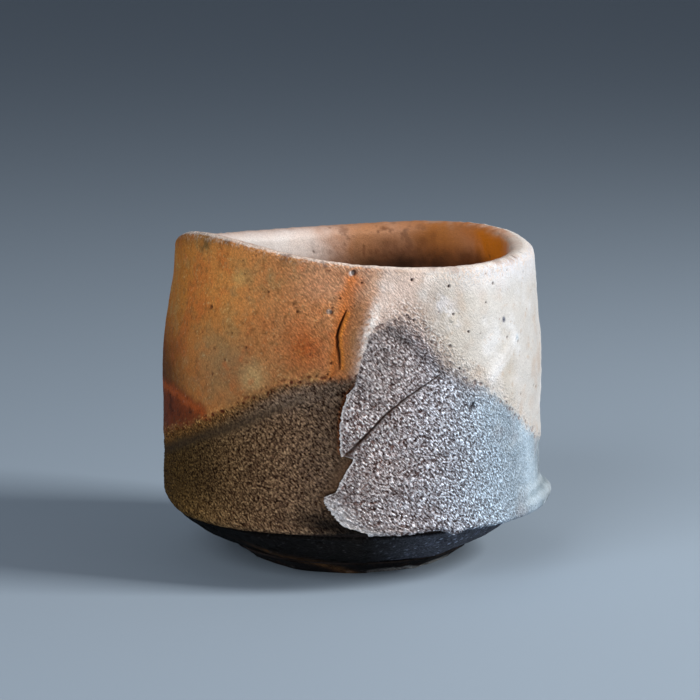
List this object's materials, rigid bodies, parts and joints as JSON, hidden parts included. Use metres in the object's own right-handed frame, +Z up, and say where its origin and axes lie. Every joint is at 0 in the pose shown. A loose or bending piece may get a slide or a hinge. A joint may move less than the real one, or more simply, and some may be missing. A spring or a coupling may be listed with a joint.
{
  "type": "sake cup",
  "caption": "Small slab-built stoneware sake cup: a lapped clay strip wall with rough grey slip below and flame-coloured glaze above, on a carved base with a foot ring.",
  "frame": {"origin": "centre of the foot ring's resting face, on the table", "axes": "+Z up along the cup's axis, -Y to the front with the lap joint, +X to the side with the flared lower lip"},
  "size_m": [0.0669, 0.0656, 0.0578],
  "materials": {
    "body_clay": "dry fired stoneware",
    "base_clay": "dark carved stoneware",
    "foot_clay": "dark stoneware, worn pale at its edge",
    "joint_slip": "dry fired slip",
    "grey_slip": "rough crawled slip, grey with red-brown pits",
    "flame_glaze": "satin glaze, orange to white, with pinholes",
    "lining_glaze": "satin glaze, white to brown"
  },
  "bodies": {
    "root": {"wall_strip": "body_clay", "base_disc": "base_clay", "foot_ring": "foot_clay", "corner_coil": "body_clay", "lap_slip": "joint_slip", "base_slip": "joint_slip", "foot_slip": "joint_slip", "grey_slip_coat": "grey_slip", "flame_glaze_coat": "flame_glaze", "glaze_lining": "lining_glaze"}
  },
  "joints": []
}
